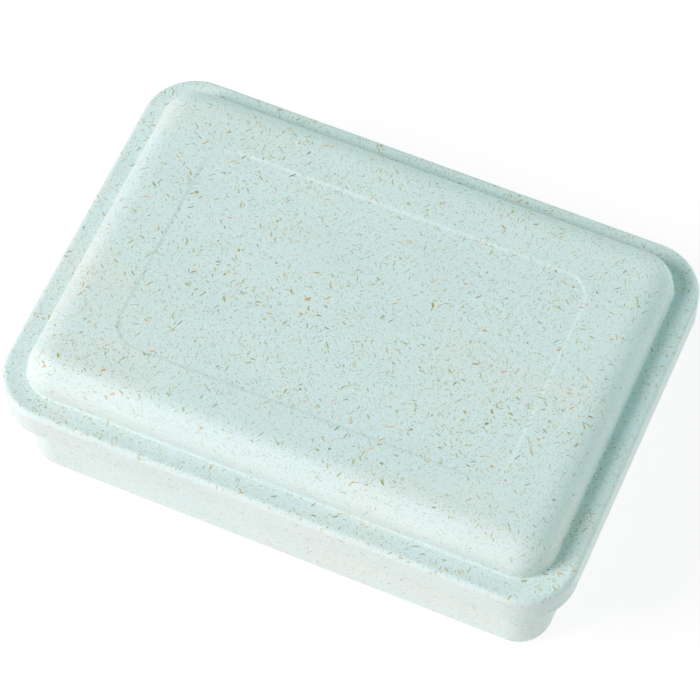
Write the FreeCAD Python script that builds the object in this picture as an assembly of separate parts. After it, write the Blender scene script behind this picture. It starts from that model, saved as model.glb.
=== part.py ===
import FreeCAD, Part
import math
import os

from FreeCAD import Vector

# A travel soap box in straw-filled plastic: a tub, a drain rack that lifts out and a lid that
# lifts off. Lengths are millimetres, +Z is up and +X runs along the long side. The origin is
# the middle of the face that the tub stands on. Outlines are the outline of the tub's rim,
# moved out or in by an offset.

# Tub
tub_length = 107.0
tub_width = 73.4
tub_corner_radius = 6.7
tub_height = 26.1
tub_wall = 1.8
tub_floor_thickness = 1.8
tub_draft_degrees = 0.3
tub_bottom_radius = 3.0
tub_inside_radius = 2.0
tub_mouth_radius = 0.6

# Flange round the tub's rim, which carries the lid
flange_width = 1.9
flange_thickness = 1.8
flange_top_radius = 0.8
flange_lower_radius = 0.5
flange_root_radius = 0.7

# Standing ring under the tub, and the mark of the moulding gate inside it
foot_ring_width = 4.5
foot_ring_height = 0.8
foot_pocket_corner_radius = 4.0
foot_pocket_edge_radius = 0.4
gate_mark_radius = 1.6
gate_mark_depth = 0.3

# Lid
lid_wall = 1.8
skirt_clearance = 0.3
skirt_drop = 7.2
skirt_edge_radius = 0.6
ledge_width = 4.8
ledge_edge_radius = 1.2
dome_height = 7.3
dome_corner_radius = 6.6
dome_edge_radius = 5.9
dome_draft_degrees = 3.0
dome_foot_radius = 0.35

# Shallow panel sunk in the dome's top
panel_margin_x = 13.9
panel_margin_y = 12.9
panel_corner_radius = 5.2
panel_depth = 0.2
panel_step_width = 0.65

# Lip under the lid, which drops into the tub's mouth
lip_clearance = 0.4
lip_thickness = 1.3
lip_depth = 2.6
lip_edge_radius = 0.4

# Upright grip ribs inside the skirt, which hold the lid snug round the flange
grip_rib_radius = 0.8
grip_rib_clearance = 0.1
grip_rib_spacing = 26.0

# Drain rack
rack_clearance = 0.7
rack_plate = 1.8
rack_rim_height = 1.6
rack_rim_thickness = 1.5
rack_edge_radius = 0.5
finger_notch_radius = 9.0
finger_notch_corner_radius = 2.4

# Legs of the rack
leg_height = 5.5
leg_top_radius = 3.0
leg_tip_radius = 2.3
leg_tip_rounding = 0.4
leg_inset = 8.0

# Drain slots in the rack, in two rows, and the ridges between them
slot_width = 3.0
slot_pitch = 7.2
slot_to_rim = 4.0
slot_to_notch = 2.0
slot_edge_radius = 0.4
spine_width = 7.6
ridge_width = 1.8
ridge_height = 1.2
ridge_edge_radius = 0.6
ridge_end_gap = 1.2

# Sinks that the ejector pins leave in the tub's floor and in the dome's ceiling
pin_mark_radius = 2.5
pin_mark_depth = 0.15
pin_mark_inset = 18.0

# Aids to the modelling: how far a cut runs past its face, how near an edge must lie to the
# place where it is looked for, and how much of a wall a rounding may take
cut_overrun = 2.0
match_tolerance = 0.02
rounding_share = 0.9

# Heights and offsets that follow from the sizes above
floor_level = foot_ring_height + tub_floor_thickness
flange_underside = tub_height - flange_thickness
ledge_underside = tub_height
ledge_top = ledge_underside + lid_wall
skirt_bottom = ledge_top - skirt_drop
lid_top = ledge_top + dome_height
skirt_inner_offset = flange_width + skirt_clearance
skirt_outer_offset = skirt_inner_offset + lid_wall
dome_foot_offset = skirt_outer_offset - ledge_width
lip_outer_offset = -tub_wall - lip_clearance
lip_inner_offset = lip_outer_offset - lip_thickness
plate_bottom = floor_level + leg_height
plate_top = plate_bottom + rack_plate
rack_rim_top = plate_top + rack_rim_height


def tub_offset(z):
    """Offset of the tub's outer wall at a height: zero at the rim, drawn in below it."""
    return -(tub_height - z) * math.tan(math.radians(tub_draft_degrees))


def dome_offset(z):
    """Offset of the dome's outer wall at a height."""
    return dome_foot_offset - (z - ledge_top) * math.tan(math.radians(dome_draft_degrees))


# The rack's edge stays clear of the tub's wall at the underside of its plate
rack_offset = tub_offset(plate_bottom) - tub_wall - rack_clearance


def rounding(radius, room):
    """A rounding's radius, held to what its wall has room for."""
    return min(radius, rounding_share * room)


def rounded_rectangle(length, width, radius, z):
    """Closed wire of a rounded rectangle round the Z axis, corner after corner."""
    x = length / 2 - radius
    y = width / 2 - radius
    edges = []
    corners = [(x, y, 0), (-x, y, 90), (-x, -y, 180), (x, -y, 270)]
    for i, (cx, cy, start) in enumerate(corners):
        centre = Vector(cx, cy, z)
        arc = Part.Circle(centre, Vector(0, 0, 1), radius)
        edges.append(arc.toShape(math.radians(start), math.radians(start + 90)))
        next_x, next_y, next_start = corners[(i + 1) % len(corners)]
        turn = math.radians(next_start)
        out = Vector(math.cos(turn), math.sin(turn), 0) * radius
        edges.append(Part.LineSegment(centre + out, Vector(next_x, next_y, z) + out).toShape())
    return Part.Wire(edges)


def rim_outline(offset, z, radius=None):
    """The tub's rim outline at an offset, with concentric corners or corners of a given radius."""
    corner = tub_corner_radius + offset if radius is None else radius
    return rounded_rectangle(tub_length + 2 * offset, tub_width + 2 * offset, corner, z)


def prism(offset, z0, z1, radius=None):
    """Upright solid on the rim outline at an offset."""
    return Part.Face(rim_outline(offset, z0, radius)).extrude(Vector(0, 0, z1 - z0))


def taper(offset0, z0, offset1, z1, radius0=None, radius1=None):
    """Solid that runs straight from one outline to another one above it."""
    return Part.makeLoft([rim_outline(offset0, z0, radius0), rim_outline(offset1, z1, radius1)], True, True)


def edges_on(shape, z, offset, radius=None):
    """Edges of a shape that lie at height z along the outline at an offset."""
    corner = tub_corner_radius + offset if radius is None else radius
    found = []
    for edge in shape.Edges:
        box = edge.BoundBox
        if max(abs(box.ZMin - z), abs(box.ZMax - z)) > match_tolerance:
            continue
        middle = edge.valueAt((edge.FirstParameter + edge.LastParameter) / 2)
        past_x = abs(middle.x) - (tub_length / 2 + offset - corner)
        past_y = abs(middle.y) - (tub_width / 2 + offset - corner)
        away = math.hypot(max(past_x, 0), max(past_y, 0)) + min(max(past_x, past_y), 0) - corner
        if abs(away) < match_tolerance:
            found.append(edge)
    return found


def edges_at(shape, z):
    """All edges of a shape that lie level at height z."""
    return [edge for edge in shape.Edges
            if max(abs(edge.BoundBox.ZMin - z), abs(edge.BoundBox.ZMax - z)) < match_tolerance]


def slot_solid(x, y, width, length, z0, z1):
    """Upright solid with half-round ends, its length along Y."""
    radius = width / 2
    half = length / 2 - radius
    right = Part.LineSegment(Vector(x + radius, y - half, z0), Vector(x + radius, y + half, z0))
    far = Part.Arc(Vector(x + radius, y + half, z0), Vector(x, y + half + radius, z0),
                   Vector(x - radius, y + half, z0))
    left = Part.LineSegment(Vector(x - radius, y + half, z0), Vector(x - radius, y - half, z0))
    near = Part.Arc(Vector(x - radius, y - half, z0), Vector(x, y - half - radius, z0),
                    Vector(x + radius, y - half, z0))
    wire = Part.Wire([side.toShape() for side in (right, far, left, near)])
    return Part.Face(wire).extrude(Vector(0, 0, z1 - z0))


def flange_top_round():
    """Radius of the flange's upper edge, which the inside corner of the lid follows."""
    return rounding(flange_top_radius, flange_thickness / 2)


def tub_outside():
    """Drafted block with a rounded bottom and the flange round its top."""
    body = taper(tub_offset(0), 0, 0, tub_height)
    body = body.makeFillet(tub_bottom_radius, edges_on(body, 0, tub_offset(0)))
    flange = prism(flange_width, flange_underside, tub_height)
    lower_round = rounding(flange_lower_radius, flange_thickness / 2)
    flange = flange.makeFillet(flange_top_round(), edges_on(flange, tub_height, flange_width))
    flange = flange.makeFillet(lower_round, edges_on(flange, flange_underside, flange_width))
    body = body.fuse(flange).removeSplitter()
    root_round = rounding(flange_root_radius, flange_width - lower_round)
    return body.makeFillet(root_round, edges_on(body, flange_underside, tub_offset(flange_underside)))


def tub_cavity():
    """Space inside the tub, with a rounded floor edge."""
    above = tub_height + cut_overrun
    floor_offset = tub_offset(floor_level) - tub_wall
    cavity = taper(floor_offset, floor_level, tub_offset(above) - tub_wall, above)
    floor_round = rounding(tub_inside_radius, tub_corner_radius + floor_offset)
    return cavity.makeFillet(floor_round, edges_on(cavity, floor_level, floor_offset))


def foot_pocket():
    """Shallow pocket that leaves the standing ring, with the gate's mark in its middle."""
    offset = tub_offset(0) - tub_bottom_radius - foot_ring_width
    pocket = prism(offset, -cut_overrun, foot_ring_height, foot_pocket_corner_radius)
    ceiling = edges_on(pocket, foot_ring_height, offset, foot_pocket_corner_radius)
    pocket = pocket.makeFillet(rounding(foot_pocket_edge_radius, foot_ring_height), ceiling)
    return pocket.fuse(Part.makeCylinder(gate_mark_radius, foot_ring_height + gate_mark_depth))


def pin_marks(z0, z1):
    """Round tools for the ejector pins' sinks, one near each corner."""
    x = tub_length / 2 - pin_mark_inset
    y = tub_width / 2 - pin_mark_inset
    return [Part.makeCylinder(pin_mark_radius, z1 - z0, Vector(side_x, side_y, z0))
            for side_x in (-x, x) for side_y in (-y, y)]


def base_tub():
    body = tub_outside().cut(tub_cavity())
    mouth_round = rounding(tub_mouth_radius, tub_wall / 2)
    body = body.makeFillet(mouth_round, edges_on(body, tub_height, -tub_wall))
    return body.cut([foot_pocket()] + pin_marks(floor_level - pin_mark_depth, floor_level + cut_overrun))


def lid_outside():
    """Block of the ledge and the skirt, with the dome on it."""
    block = prism(skirt_outer_offset, skirt_bottom, ledge_top)
    edge_round = rounding(ledge_edge_radius, ledge_width)
    block = block.makeFillet(edge_round, edges_on(block, ledge_top, skirt_outer_offset))
    dome = taper(dome_offset(ledge_underside), ledge_underside, dome_offset(lid_top), lid_top,
                 dome_corner_radius, dome_corner_radius)
    top_edges = edges_on(dome, lid_top, dome_offset(lid_top), dome_corner_radius)
    dome = dome.makeFillet(dome_round(), top_edges)
    whole = block.fuse(dome).removeSplitter()
    foot = edges_on(whole, ledge_top, dome_foot_offset, dome_corner_radius)
    return whole.makeFillet(dome_foot_radius, foot)


def dome_round():
    """Radius of the dome's edge, which its height and its corners both have room for."""
    return rounding(dome_edge_radius, min(dome_height - dome_foot_radius + lid_wall, dome_corner_radius))


def lid_underside():
    """Space under the ledge, inside the skirt."""
    space = prism(skirt_inner_offset, skirt_bottom - cut_overrun, ledge_underside)
    return space.makeFillet(flange_top_round(), edges_on(space, ledge_underside, skirt_inner_offset))


def lid_hollow():
    """Space inside the lip and the dome, where the dome's wall grows out of the lip."""
    below = skirt_bottom - cut_overrun
    corner = dome_corner_radius - lid_wall
    wall_offset = dome_foot_offset - lid_wall
    ceiling = lid_top - lid_wall
    ceiling_offset = dome_offset(lid_top) - lid_wall
    mouth = prism(lip_inner_offset, below, ledge_underside)
    flare = taper(lip_inner_offset, ledge_underside, wall_offset, ledge_top, None, corner)
    dome = taper(wall_offset, ledge_top, ceiling_offset, ceiling, corner, corner)
    dome = dome.makeFillet(dome_round() - lid_wall, edges_on(dome, ceiling, ceiling_offset, corner))
    return mouth.fuse([flare, dome]).removeSplitter()


def grip_ribs():
    """Half-round ribs on the skirt's inner face, evenly spaced along each side."""
    radius = rounding(grip_rib_radius, lid_wall / 2)
    middle = flange_width + grip_rib_clearance + radius
    places = []
    for side in (-1, 1):
        places += [(x, side * (tub_width / 2 + middle)) for x in rib_places(tub_length)]
        places += [(side * (tub_length / 2 + middle), y) for y in rib_places(tub_width)]
    z0 = skirt_bottom + skirt_edge_radius
    return [Part.makeCylinder(radius, ledge_underside - z0, Vector(x, y, z0)) for x, y in places]


def rib_places(side_length):
    """Places of the grip ribs along a side, one in the middle of each equal share of it."""
    count = max(1, int(side_length / grip_rib_spacing))
    return [(i - (count - 1) / 2) * side_length / count for i in range(count)]


def panel_sink():
    """Tool that sinks the panel into the dome's top, with sloping sides."""
    dome_length = tub_length + 2 * dome_foot_offset
    dome_width = tub_width + 2 * dome_foot_offset
    wires = []
    for rise in (0, panel_depth + cut_overrun):
        grow = rise * panel_step_width / panel_depth
        wires.append(rounded_rectangle(dome_length - 2 * panel_margin_x + 2 * grow,
                                       dome_width - 2 * panel_margin_y + 2 * grow,
                                       panel_corner_radius + grow, lid_top - panel_depth + rise))
    return Part.makeLoft(wires, True, True)


def lid():
    shell = lid_outside().cut(lid_underside())
    lip_bottom = ledge_underside - lip_depth
    lip = prism(lip_outer_offset, lip_bottom, ledge_underside)
    shell = shell.fuse(lip).cut(lid_hollow()).removeSplitter()
    lip_edges = edges_on(shell, lip_bottom, lip_outer_offset) + edges_on(shell, lip_bottom, lip_inner_offset)
    shell = shell.makeFillet(rounding(lip_edge_radius, lip_thickness / 2), lip_edges)
    skirt_round = rounding(skirt_edge_radius, lid_wall / 2)
    skirt_edges = (edges_on(shell, skirt_bottom, skirt_outer_offset)
                   + edges_on(shell, skirt_bottom, skirt_inner_offset))
    shell = shell.makeFillet(skirt_round, skirt_edges)
    ceiling = lid_top - lid_wall
    sinks = [panel_sink()] + pin_marks(ceiling - cut_overrun, ceiling + pin_mark_depth)
    return shell.fuse(grip_ribs()).cut(sinks).removeSplitter()


def slot_rows():
    """Places of the slots along X, the length of a row's slots, and how far a row lies from the middle."""
    kept = max(finger_notch_radius + rack_rim_thickness + slot_to_notch, leg_inset + leg_top_radius)
    field = tub_length + 2 * (rack_offset - kept)
    count = int((field - slot_width) / slot_pitch) + 1
    places = [(i - (count - 1) / 2) * slot_pitch for i in range(count)]
    row_end = tub_width / 2 + rack_offset - rack_rim_thickness - slot_to_rim
    slot_length = row_end - spine_width / 2
    return places, slot_length, row_end - slot_length / 2


def notched_block(offset, notch_radius, corner_radius, z0, z1):
    """Upright solid on the rim outline at an offset, with a rounded finger notch in each end."""
    block = prism(offset, z0, z1)
    notch_x = tub_length / 2 + rack_offset
    block = block.cut([Part.makeCylinder(notch_radius, z1 - z0, Vector(x, 0, z0))
                       for x in (-notch_x, notch_x)])
    end_x = tub_length / 2 + offset
    mouth_y = math.sqrt(notch_radius ** 2 - (notch_x - end_x) ** 2)
    corners = []
    for edge in block.Edges:
        middle = edge.valueAt((edge.FirstParameter + edge.LastParameter) / 2)
        if math.hypot(abs(middle.x) - end_x, abs(middle.y) - mouth_y) < match_tolerance:
            corners.append(edge)
    return block.makeFillet(corner_radius, corners)


def rack_tray():
    """Plate with an upturned rim that runs on round the finger notches."""
    corner = finger_notch_corner_radius
    inner_corner = max(corner - rack_rim_thickness, rack_edge_radius)
    tray = notched_block(rack_offset, finger_notch_radius, corner, plate_bottom, rack_rim_top)
    well = notched_block(rack_offset - rack_rim_thickness, finger_notch_radius + rack_rim_thickness,
                         inner_corner, plate_top, rack_rim_top + cut_overrun)
    tray = tray.cut(well)
    edge_round = rounding(rack_edge_radius, rack_rim_thickness / 2)
    tray = tray.makeFillet(edge_round, edges_at(tray, rack_rim_top))
    tray = tray.makeFillet(edge_round, edges_at(tray, plate_bottom))
    return tray.makeFillet(edge_round, edges_at(tray, plate_top))


def slotted_tray():
    """The tray with its drain slots, whose upper edges are rounded."""
    places, slot_length, row_y = slot_rows()
    below = plate_bottom - cut_overrun
    above = plate_top + cut_overrun
    tray = rack_tray().cut([slot_solid(x, y, slot_width, slot_length, below, above)
                            for x in places for y in (-row_y, row_y)])
    field_x = places[-1] + slot_width / 2 + match_tolerance
    field_y = row_y + slot_length / 2 + match_tolerance
    slot_edges = []
    for edge in edges_at(tray, plate_top):
        middle = edge.valueAt((edge.FirstParameter + edge.LastParameter) / 2)
        if abs(middle.x) < field_x and abs(middle.y) < field_y:
            slot_edges.append(edge)
    return tray.makeFillet(rounding(slot_edge_radius, rack_plate / 2), slot_edges)


def soap_ridges():
    """Rounded ridges between the slots, which hold the soap off the plate."""
    places, slot_length, row_y = slot_rows()
    ridge_top = plate_top + ridge_height
    ridges = []
    for left, right in zip(places, places[1:]):
        for y in (-row_y, row_y):
            ridge = slot_solid((left + right) / 2, y, ridge_width, slot_length - 2 * ridge_end_gap,
                               plate_bottom + rack_plate / 2, ridge_top)
            top_round = rounding(ridge_edge_radius, ridge_width / 2)
            ridges.append(ridge.makeFillet(top_round, edges_at(ridge, ridge_top)))
    return ridges


def rack_legs():
    """Four legs near the corners and one in the middle, each narrower at its tip."""
    corner_x = tub_length / 2 + rack_offset - leg_inset
    corner_y = tub_width / 2 + rack_offset - leg_inset
    places = [(0, 0)] + [(x, y) for x in (-corner_x, corner_x) for y in (-corner_y, corner_y)]
    legs = []
    for x, y in places:
        leg = Part.makeCone(leg_tip_radius, leg_top_radius, leg_height, Vector(x, y, floor_level))
        legs.append(leg.makeFillet(rounding(leg_tip_rounding, leg_tip_radius), edges_at(leg, floor_level)))
    return legs


def drain_rack():
    return slotted_tray().fuse(soap_ridges() + rack_legs()).removeSplitter()


def export(name, shape):
    """Write one piece, and print what it measures."""
    box = shape.optimalBoundingBox()
    size = [round(side, 2) for side in (box.XLength, box.YLength, box.ZLength)]
    print(name, "solids", len(shape.Solids), "valid", shape.isValid(),
          "volume", round(shape.Volume, 1), "size", size, "from", round(box.ZMin, 2))
    shape.Solids[0].exportStep(os.path.join("parts", name + ".step"))


os.makedirs("parts", exist_ok=True)
export("base_tub", base_tub())
export("drain_rack", drain_rack())
export("lid", lid())
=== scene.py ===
import bmesh
import bpy
import math
from mathutils import Matrix, Vector

# A travel soap box in pale mint plastic with chopped straw in it. Metres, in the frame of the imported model.
# The three mouldings are the model's own shapes. This script gives them their plastic, and adds floor, light
# and camera.
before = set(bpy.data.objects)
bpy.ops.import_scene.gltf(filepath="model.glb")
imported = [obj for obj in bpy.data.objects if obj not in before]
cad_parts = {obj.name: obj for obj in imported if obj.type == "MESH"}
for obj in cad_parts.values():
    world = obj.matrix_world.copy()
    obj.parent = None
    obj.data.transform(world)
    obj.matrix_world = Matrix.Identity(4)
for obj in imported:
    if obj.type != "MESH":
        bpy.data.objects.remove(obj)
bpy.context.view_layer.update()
mm = 0.001
print("frame loaded:", ", ".join(sorted(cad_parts)))


# Small helpers for colours and nodes

def srgb(red, green, blue):  # levels of 255 by the sRGB curve, as the linear colour that nodes take
    linear = [((v / 255 + 0.055) / 1.055) ** 2.4 if v > 10 else v / 255 / 12.92 for v in (red, green, blue)]
    return (linear[0], linear[1], linear[2], 1)


def feed(tree, socket, value):  # a socket is linked, anything else is set as the value
    if isinstance(value, bpy.types.NodeSocket):
        tree.links.new(value, socket)
    else:
        socket.default_value = value


def addNode(tree, kind, inputs=None, **settings):
    node = tree.nodes.new(kind)
    for name, value in settings.items():
        setattr(node, name, value)
    for name, value in (inputs or {}).items():
        feed(tree, node.inputs[name], value)
    return node


def sums(tree, operation, *values, clamp=False):
    node = addNode(tree, "ShaderNodeMath", operation=operation, use_clamp=clamp)
    for socket, value in zip(node.inputs, values):
        feed(tree, socket, value)
    return node.outputs[0]


def arrows(tree, operation, first, second=None, scale=None):  # vector sums, the value for a dot product
    node = addNode(tree, "ShaderNodeVectorMath", operation=operation)
    feed(tree, node.inputs[0], first)
    if second is not None:
        feed(tree, node.inputs[1], second)
    if scale is not None:
        feed(tree, node.inputs["Scale"], scale)
    return node.outputs["Value" if operation == "DOT_PRODUCT" else "Vector"]


def smoothStep(tree, value, start, end, low=0.0, high=1.0):
    inputs = {"Value": value, "From Min": start, "From Max": end, "To Min": low, "To Max": high}
    node = addNode(tree, "ShaderNodeMapRange", inputs, interpolation_type="SMOOTHSTEP", clamp=True)
    return node.outputs["Result"]


def blendColours(tree, share, under, over):  # a Mix node has sockets for each kind, and 6 and 7 take colours
    node = addNode(tree, "ShaderNodeMix", data_type="RGBA", clamp_factor=True)
    feed(tree, node.inputs[0], share)
    feed(tree, node.inputs[6], under)
    feed(tree, node.inputs[7], over)
    return node.outputs[2]


def newGroup(name, inputs, outputs):
    group = bpy.data.node_groups.new(name, "ShaderNodeTree")
    for label, kind in inputs:
        group.interface.new_socket(name=label, in_out="INPUT", socket_type="NodeSocket" + kind)
    for label, kind in outputs:
        group.interface.new_socket(name=label, in_out="OUTPUT", socket_type="NodeSocket" + kind)
    return group, group.nodes.new("NodeGroupInput").outputs, group.nodes.new("NodeGroupOutput").inputs


def placeGroup(tree, group, values):
    node = tree.nodes.new("ShaderNodeGroup")
    node.node_tree = group
    for name, value in values.items():
        feed(tree, node.inputs[name], value)
    return node.outputs


# Straw slivers: one for each cell of a scattered pattern, lying flat in the surface. The deeper one lies, the
# fainter it shows

sliverShape = {
    "shortest": 0.5,  # length of the shortest sliver, as a share of the layer's length
    "longest": 1.35,
    "thinnest": 0.6,
    "thickest": 1.3,
    "bend": 0.35,  # how far a bent sliver's end may swing, as a share of its half length
    "squareness": 3.0,  # 2 gives pointed ovals, more gives blunt ends
    "softEdge": (0.5, 1.25),  # where its edge starts to fade and where it is gone, 1 is the outline
    "fadePower": 0.6,  # under 1 keeps a sliver strong until it lies nearly at its layer's depth
}


def makeSliverGroup(shape):
    inputs = [("Position", "Vector"), ("Normal", "Vector"), ("Spacing", "Float"), ("Length", "Float"),
              ("Width", "Float"), ("Depth", "Float"), ("Seed", "Float")]
    group, given, result = newGroup("strawSlivers", inputs, [("Cover", "Float"), ("Shade", "Float")])
    perMetre = sums(group, "DIVIDE", 1.0, given["Spacing"])
    scaled = arrows(group, "SCALE", given["Position"], scale=perMetre)
    moved = arrows(group, "ADD", scaled, given["Seed"])
    cells = addNode(group, "ShaderNodeTexVoronoi", {"Vector": moved, "Scale": 1.0, "Randomness": 1.0},
                    voronoi_dimensions="3D", feature="F1")
    cellColour = cells.outputs["Color"]  # a different one in each cell
    dice = addNode(group, "ShaderNodeTexWhiteNoise", {"Vector": cellColour}, noise_dimensions="3D")
    otherDice = addNode(group, "ShaderNodeTexWhiteNoise", {"Vector": cellColour, "W": 1.0},
                        noise_dimensions="4D")
    parts = addNode(group, "ShaderNodeSeparateColor", {"Color": otherDice.outputs["Color"]})
    fromCentre = arrows(group, "SUBTRACT", moved, cells.outputs["Position"])
    offset = arrows(group, "SCALE", fromCentre, scale=given["Spacing"])

    # the sliver's own directions: along and across in the surface, and down into it
    heading = arrows(group, "SUBTRACT", dice.outputs["Color"], (0.5, 0.5, 0.5))
    lift = arrows(group, "DOT_PRODUCT", heading, given["Normal"])
    flat = arrows(group, "SUBTRACT", heading, arrows(group, "SCALE", given["Normal"], scale=lift))
    along = arrows(group, "NORMALIZE", flat)
    across = arrows(group, "CROSS_PRODUCT", given["Normal"], along)
    x = arrows(group, "DOT_PRODUCT", offset, along)
    y = arrows(group, "DOT_PRODUCT", offset, across)
    z = arrows(group, "DOT_PRODUCT", offset, given["Normal"])

    lengthSpread = (shape["longest"] - shape["shortest"]) / 2
    widthSpread = (shape["thickest"] - shape["thinnest"]) / 2
    lengthShare = sums(group, "MULTIPLY_ADD", parts.outputs[0], lengthSpread, shape["shortest"] / 2)
    widthShare = sums(group, "MULTIPLY_ADD", parts.outputs[1], widthSpread, shape["thinnest"] / 2)
    halfLength = sums(group, "MULTIPLY", given["Length"], lengthShare)
    halfWidth = sums(group, "MULTIPLY", given["Width"], widthShare)
    reach = sums(group, "DIVIDE", x, halfLength)
    swing = sums(group, "MULTIPLY", sums(group, "SUBTRACT", parts.outputs[2], 0.5), shape["bend"])
    reachSquared = sums(group, "MULTIPLY", reach, reach)
    bow = sums(group, "MULTIPLY", sums(group, "MULTIPLY", reachSquared, halfLength), swing)
    side = sums(group, "DIVIDE", sums(group, "SUBTRACT", y, bow), halfWidth)
    lengthTerm = sums(group, "POWER", sums(group, "ABSOLUTE", reach), shape["squareness"])
    edge = sums(group, "ADD", lengthTerm, sums(group, "MULTIPLY", side, side))
    outline = smoothStep(group, edge, *shape["softEdge"], 1.0, 0.0)
    sunk = sums(group, "DIVIDE", sums(group, "ABSOLUTE", z), given["Depth"])
    fade = sums(group, "POWER", sums(group, "SUBTRACT", 1.0, sunk, clamp=True), shape["fadePower"])
    group.links.new(sums(group, "MULTIPLY", outline, fade), result["Cover"])
    group.links.new(dice.outputs["Value"], result["Shade"])
    return group


# Slow drifts of tone, drawn out along the way that the plastic flowed

driftNoise = {"Detail": 3.0, "Roughness": 0.55, "Distortion": 0.6}


def makeDriftGroup(look):
    inputs = [("Position", "Vector"), ("Size", "Float"), ("Stretch", "Vector"), ("From", "Float"),
              ("To", "Float")]
    group, given, result = newGroup("toneDrift", inputs, [("Share", "Float")])
    perMetre = sums(group, "DIVIDE", 1.0, given["Size"])
    scaled = arrows(group, "SCALE", given["Position"], scale=perMetre)
    drawn = arrows(group, "MULTIPLY", scaled, given["Stretch"])
    noise = addNode(group, "ShaderNodeTexNoise", dict(look, Vector=drawn, Scale=1.0), noise_dimensions="3D")
    group.links.new(smoothStep(group, noise.outputs[0], given["From"], given["To"]), result["Share"])
    return group


# The fine spark-eroded grain of the mould, as a height and as patches of more and less sheen

grainNoise = {"Detail": 2.0, "Roughness": 0.6}
patchNoise = {"Detail": 2.0, "Roughness": 0.5}


def makeGrainGroup(grainLook, patchLook):
    inputs = [("Position", "Vector"), ("Grain Size", "Float"), ("Patch Size", "Float")]
    group, given, result = newGroup("mouldGrain", inputs, [("Height", "Float"), ("Sheen Patch", "Float")])
    for size, look, output in (("Grain Size", grainLook, "Height"), ("Patch Size", patchLook, "Sheen Patch")):
        perMetre = sums(group, "DIVIDE", 1.0, given[size])
        noise = addNode(group, "ShaderNodeTexNoise", dict(look, Vector=given["Position"], Scale=perMetre),
                        noise_dimensions="3D")
        group.links.new(noise.outputs[0], result[output])
    return group


sliverGroup = makeSliverGroup(sliverShape)
driftGroup = makeDriftGroup(driftNoise)
grainGroup = makeGrainGroup(grainNoise, patchNoise)
print("node groups made")


# The straw's own colours, with how often each comes up

strawColours = [
    (0.23, srgb(168, 163, 12)),  # golden straw
    (0.30, srgb(130, 140, 14)),  # olive straw
    (0.24, srgb(161, 147, 4)),  # ochre
    (0.12, srgb(118, 109, 10)),  # brown
    (0.09, srgb(196, 139, 4)),  # orange husk
    (0.007, srgb(140, 84, 44)),  # reddish husk
    (0.013, srgb(66, 60, 84)),  # dark grey
]

# Each layer of slivers: spacing, length, width and depth in millimetres, how strongly it shows, and which
# stretch of the colours above it draws from
strawLayers = [
    {"spacing": 3.3, "length": 0.90, "width": 0.38, "depth": 0.60, "strength": 1.00, "seed": 3.7,
     "tones": (0.46, 1.00)},
    {"spacing": 1.9, "length": 1.15, "width": 0.22, "depth": 0.40, "strength": 1.00, "seed": 11.3,
     "tones": (0.46, 1.00)},
    {"spacing": 1.27, "length": 0.78, "width": 0.19, "depth": 0.27, "strength": 0.80, "seed": 17.3,
     "tones": (0.10, 0.98)},
    {"spacing": 0.8, "length": 0.50, "width": 0.19, "depth": 0.22, "strength": 0.63, "seed": 29.1,
     "tones": (0.00, 0.90)},
    {"spacing": 0.54, "length": 0.32, "width": 0.18, "depth": 0.15, "strength": 0.52, "seed": 41.9,
     "tones": (0.00, 0.80)},
]


def strawRamp(tree, shade):
    ramp = addNode(tree, "ShaderNodeValToRGB", {"Fac": shade})
    ramp.color_ramp.interpolation = "CONSTANT"
    start = 0.0
    for number, (share, colour) in enumerate(strawColours):
        ready = number < 2  # a new ramp has two colours in it
        element = ramp.color_ramp.elements[number] if ready else ramp.color_ramp.elements.new(start)
        element.position = start
        element.color = colour
        start += share
    return ramp.outputs["Color"]


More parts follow.
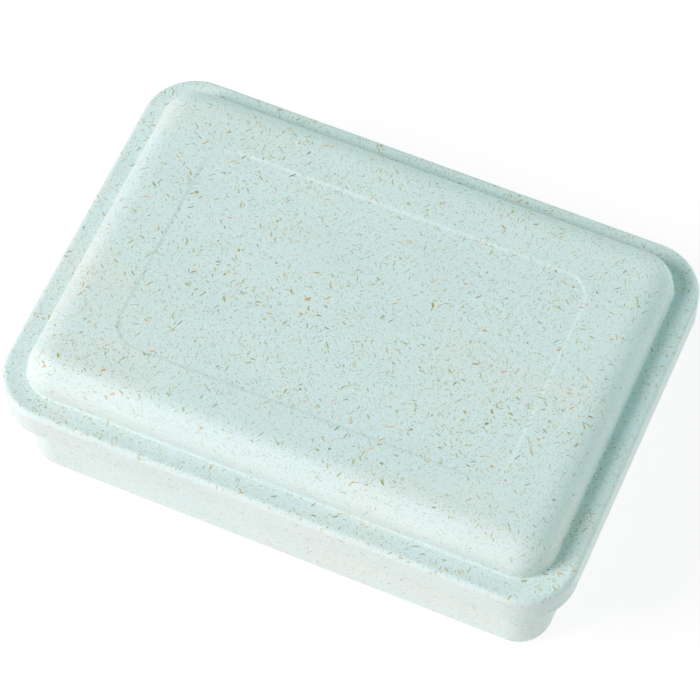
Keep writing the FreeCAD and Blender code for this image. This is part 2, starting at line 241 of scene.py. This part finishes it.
def makeStrawPlastic(name, finish):
    material = bpy.data.materials.new(name)
    material.use_nodes = True
    tree = material.node_tree
    shader = tree.nodes["Principled BSDF"]
    place = tree.nodes.new("ShaderNodeTexCoord").outputs
    shader.inputs["Specular IOR Level"].default_value = finish["specular"]
    shader.inputs["Subsurface Weight"].default_value = finish["glowWeight"]
    shader.inputs["Subsurface Radius"].default_value = (1, 1, 1)
    shader.inputs["Subsurface Scale"].default_value = finish["glowReach"]

    def drift(size, band, stretch):
        return placeGroup(tree, driftGroup, {"Position": place["Object"], "Size": size, "Stretch": stretch,
                                             "From": band[0], "To": band[1]})["Share"]

    # the plastic's own colour, with painted light on upright walls: they are tinted a little warmer and
    # paler, as lit walls look
    turned = addNode(tree, "ShaderNodeSeparateXYZ", {"Vector": place["Normal"]})
    upness = sums(tree, "ABSOLUTE", turned.outputs["Z"])
    litWallShare = smoothStep(tree, upness, *finish["wallTurn"], 1.0, 0.0)
    colour = blendColours(tree, litWallShare, finish["colour"], finish["litWallColour"])
    for tone in ("warm", "cool"):
        share = drift(finish[tone + "Size"], finish[tone + "Band"], finish["flow"])
        amount = sums(tree, "MULTIPLY", share, finish[tone + "Amount"])
        colour = blendColours(tree, amount, colour, finish[tone + "Colour"])

    # upright walls show less of the straw, and it lies thicker in some places than in others
    flatShare = smoothStep(tree, upness, *finish["strawTurn"], finish["wallStraw"], 1.0)
    thick = drift(finish["clusterSize"], finish["clusterBand"], finish["flow"])
    plenty = sums(tree, "MULTIPLY", flatShare, smoothStep(tree, thick, 0.0, 1.0, finish["thinStraw"], 1.0))
    dust = drift(finish["dustSize"], finish["dustBand"], (1, 1, 1))
    dustCover = sums(tree, "MULTIPLY", sums(tree, "MULTIPLY", dust, finish["dustAmount"]), flatShare)
    colour = blendColours(tree, dustCover, colour, finish["dustColour"])
    strawRelief = None
    for layer in strawLayers:
        slivers = placeGroup(tree, sliverGroup, {
            "Position": place["Object"], "Normal": place["Normal"], "Spacing": layer["spacing"] * mm,
            "Length": layer["length"] * mm, "Width": layer["width"] * mm, "Depth": layer["depth"] * mm,
            "Seed": layer["seed"] + finish["seed"]})
        cover = sums(tree, "MULTIPLY", sums(tree, "MULTIPLY", slivers["Cover"], layer["strength"]), plenty)
        firstTone, lastTone = layer["tones"]
        tone = sums(tree, "MULTIPLY_ADD", slivers["Shade"], lastTone - firstTone, firstTone)
        colour = blendColours(tree, cover, colour, strawRamp(tree, tone))
        strawRelief = cover if strawRelief is None else sums(tree, "MAXIMUM", strawRelief, cover)
    tree.links.new(colour, shader.inputs["Base Color"])

    # straw takes the sheen off, and the mould's grain breaks up what is left of it
    grain = placeGroup(tree, grainGroup, {"Position": place["Object"], "Grain Size": finish["grainSize"],
                                          "Patch Size": finish["patchSize"]})
    rough = sums(tree, "MULTIPLY_ADD", grain["Sheen Patch"], finish["roughSpread"],
                 finish["roughness"] - finish["roughSpread"] / 2)
    rough = sums(tree, "MULTIPLY_ADD", strawRelief, finish["strawRoughness"], rough)
    tree.links.new(rough, shader.inputs["Roughness"])
    bump = addNode(tree, "ShaderNodeBump", {"Strength": 1.0, "Distance": finish["grainHeight"],
                                           "Height": grain["Height"]})
    tree.links.new(bump.outputs["Normal"], shader.inputs["Normal"])
    return material


# The three mouldings share one recipe, each with its own values

lidFinish = {
    "node": "lid",
    "colour": srgb(203, 230, 229),
    "litWallColour": srgb(209, 229, 227),  # painted warm light: upright walls are tinted a little warmer and paler
    "wallTurn": (0.2, 0.9),  # how far up a face looks: all wall below the first, no wall above the second
    "warmColour": srgb(226, 220, 206),
    "warmAmount": 0.22,
    "warmSize": 14 * mm,
    "warmBand": (0.45, 0.75),  # the stretch of the noise over which a drift sets in
    "coolColour": srgb(196, 222, 222),
    "coolAmount": 0.35,
    "coolSize": 9 * mm,
    "coolBand": (0.4, 0.7),
    "flow": (0.45, 1.0, 1.0),  # under 1 draws the drifts out along that axis
    "dustColour": srgb(148, 178, 136),  # straw dust, too fine to show as slivers
    "dustAmount": 0.15,
    "dustSize": 0.40 * mm,
    "dustBand": (0.4, 0.65),
    "clusterSize": 16 * mm,
    "clusterBand": (0.3, 0.7),
    "thinStraw": 0.72,  # how strongly the straw shows where it is thinnest
    "wallStraw": 0.50,  # and on upright walls
    "strawTurn": (0.5, 1.0),  # in the same way, where the straw starts to show more and where it all shows
    "roughness": 0.48,
    "roughSpread": 0.12,  # from the sheenest patch to the dullest
    "strawRoughness": 0.12,  # what straw adds
    "specular": 0.45,
    "glowWeight": 0.10,  # light that passes through the skin
    "glowReach": 0.9 * mm,
    "grainSize": 0.30 * mm,
    "grainHeight": 0.012 * mm,
    "patchSize": 6 * mm,
    "seed": 0.0,
}

# painted light: the tub's colours are a little paler than the lid's, to brighten its lit upright front walls
tubFinish = dict(lidFinish, node="base_tub", seed=61.0, flow=(0.35, 1.0, 1.0), roughness=0.46,
                 colour=srgb(206, 232, 230), litWallColour=srgb(209, 231, 229), warmAmount=0.2)

rackFinish = dict(lidFinish, node="drain_rack", seed=127.0, flow=(1.0, 0.6, 1.0), roughness=0.5)

for finish in (lidFinish, tubFinish, rackFinish):
    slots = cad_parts[finish["node"]].data.materials
    slots.clear()
    slots.append(makeStrawPlastic(finish["node"] + "Plastic", finish))
print("plastic made for the three mouldings")


# Whether a ray is one that the eye follows: straight to the camera, or by way of a mirror or clear glass

def seenShare(tree):
    rays = tree.nodes.new("ShaderNodeLightPath").outputs
    return sums(tree, "MAXIMUM", rays["Is Camera Ray"],
                sums(tree, "MAXIMUM", rays["Is Glossy Ray"], rays["Is Transmission Ray"]))


# A pale floor, white to the camera where nothing shades it

floorLook = {
    "halfWidth": 3.0,
    "colour": 0.9,  # what lights the box from below
    "seenColour": 0.14,  # how strongly the camera sees the box's shadow
    "seenGlow": 0.88,  # lifts the floor that the camera sees to white
}


def makeFloor(look):
    mesh = bpy.data.meshes.new("floor")
    sheet = bmesh.new()
    bmesh.ops.create_grid(sheet, x_segments=1, y_segments=1, size=look["halfWidth"])
    sheet.to_mesh(mesh)
    sheet.free()
    floor = bpy.data.objects.new("floor", mesh)
    bpy.context.scene.collection.objects.link(floor)
    material = bpy.data.materials.new("paleFloor")
    material.use_nodes = True
    tree = material.node_tree
    shader = tree.nodes["Principled BSDF"]
    shader.inputs["Roughness"].default_value = 1
    shader.inputs["Specular IOR Level"].default_value = 0
    seen = seenShare(tree)
    grey = blendColours(tree, seen, (look["colour"],) * 3 + (1,), (look["seenColour"],) * 3 + (1,))
    tree.links.new(grey, shader.inputs["Base Color"])
    shader.inputs["Emission Color"].default_value = (1, 1, 1, 1)
    tree.links.new(sums(tree, "MULTIPLY", seen, look["seenGlow"]), shader.inputs["Emission Strength"])
    mesh.materials.append(material)


makeFloor(floorLook)
print("floor made")


# Soft studio light: a broad lamp from the front left, and light from all round

studioLight = {
    "target": (0, 0, 0.015),
    "lamps": [  # turn is in degrees round from the front, and height in degrees up from level
        {"name": "keyLamp", "turn": -51, "height": 41.5, "distance": 2.0, "size": 1.0, "power": 47.5,
         "colour": (1.0, 0.80, 0.826)},
        {"name": "backLamp", "turn": 150, "height": 18, "distance": 1.2, "size": 1.0, "power": 6.2,
         "colour": (1.0, 0.985, 0.93)},
        {"name": "rightLamp", "turn": 85, "height": 10, "distance": 1.2, "size": 0.5, "power": 3.1,
         "colour": (1.0, 0.84, 0.85)},
        {"name": "frontLamp", "turn": -8, "height": 6, "distance": 1.2, "size": 0.3, "power": 1.35,
         "colour": (1.0, 0.77, 0.66)},
    ],
    "roomLevel": 0.225,  # light from all round
    "roomColour": (0.53, 1.0, 0.98),
}


def awayFrom(turn, height):  # the direction from a target to a lamp or the camera, minus turns it to the left
    return Vector((math.sin(turn) * math.cos(height), -math.cos(turn) * math.cos(height), math.sin(height)))


def makeLamp(values, target):
    lamp = bpy.data.objects.new(values["name"], bpy.data.lights.new(values["name"], "AREA"))
    bpy.context.scene.collection.objects.link(lamp)
    lamp.data.shape = "DISK"
    lamp.data.size = values["size"]
    lamp.data.energy = values["power"]
    lamp.data.color = values["colour"]
    direction = awayFrom(math.radians(values["turn"]), math.radians(values["height"]))
    lamp.location = target + direction * values["distance"]
    lamp.rotation_euler = direction.to_track_quat("Z", "Y").to_euler()


def makeLight(light):
    for values in light["lamps"]:
        makeLamp(values, Vector(light["target"]))
    world = bpy.data.worlds.new("room")
    bpy.context.scene.world = world
    world.use_nodes = True
    tree = world.node_tree
    background = tree.nodes["Background"]
    background.inputs["Strength"].default_value = light["roomLevel"]
    background.inputs["Color"].default_value = light["roomColour"] + (1,)
    white = addNode(tree, "ShaderNodeBackground", {"Color": (1, 1, 1, 1), "Strength": 1.0})
    either = addNode(tree, "ShaderNodeMixShader")
    for socket, value in zip(either.inputs, (seenShare(tree), background.outputs[0], white.outputs[0])):
        tree.links.new(value, socket)
    tree.links.new(either.outputs[0], tree.nodes["World Output"].inputs["Surface"])


makeLight(studioLight)
print("studio lit")


# The photograph's view

cameraView = {
    "turn": 24.923,  # degrees round from the front
    "height": 60.535,  # degrees up from level
    "roll": -1.469,
    "distance": 0.638116,
    "target": (0, 0, 0.015),
    "targetPixel": (353.178, 362.775),  # where the target lies in the picture
    "focalPixels": 3337.914,
    "picturePixels": 700,
    "sensorWidth": 36,
    "farthest": 10,
}


def makeCamera(view):
    turn, height, roll = (math.radians(view[name]) for name in ("turn", "height", "roll"))
    back = awayFrom(turn, height)
    level = Vector((math.cos(turn), math.sin(turn), 0))
    upright = back.cross(level)
    right = level * math.cos(roll) + upright * math.sin(roll)
    up = upright * math.cos(roll) - level * math.sin(roll)
    perPixel = view["distance"] / view["focalPixels"]
    aside = (view["targetPixel"][0] - view["picturePixels"] / 2) * perPixel
    below = (view["targetPixel"][1] - view["picturePixels"] / 2) * perPixel
    place = Vector(view["target"]) + back * view["distance"] - right * aside + up * below
    camera = bpy.data.objects.new("camera", bpy.data.cameras.new("camera"))
    bpy.context.scene.collection.objects.link(camera)
    camera.matrix_world = Matrix((
        (right.x, up.x, back.x, place.x),
        (right.y, up.y, back.y, place.y),
        (right.z, up.z, back.z, place.z),
        (0, 0, 0, 1)))
    camera.data.sensor_width = view["sensorWidth"]
    camera.data.lens = view["focalPixels"] * view["sensorWidth"] / view["picturePixels"]
    camera.data.clip_end = view["farthest"]
    bpy.context.scene.camera = camera


makeCamera(cameraView)
bpy.context.scene.view_settings.view_transform = "Standard"
print("camera set")
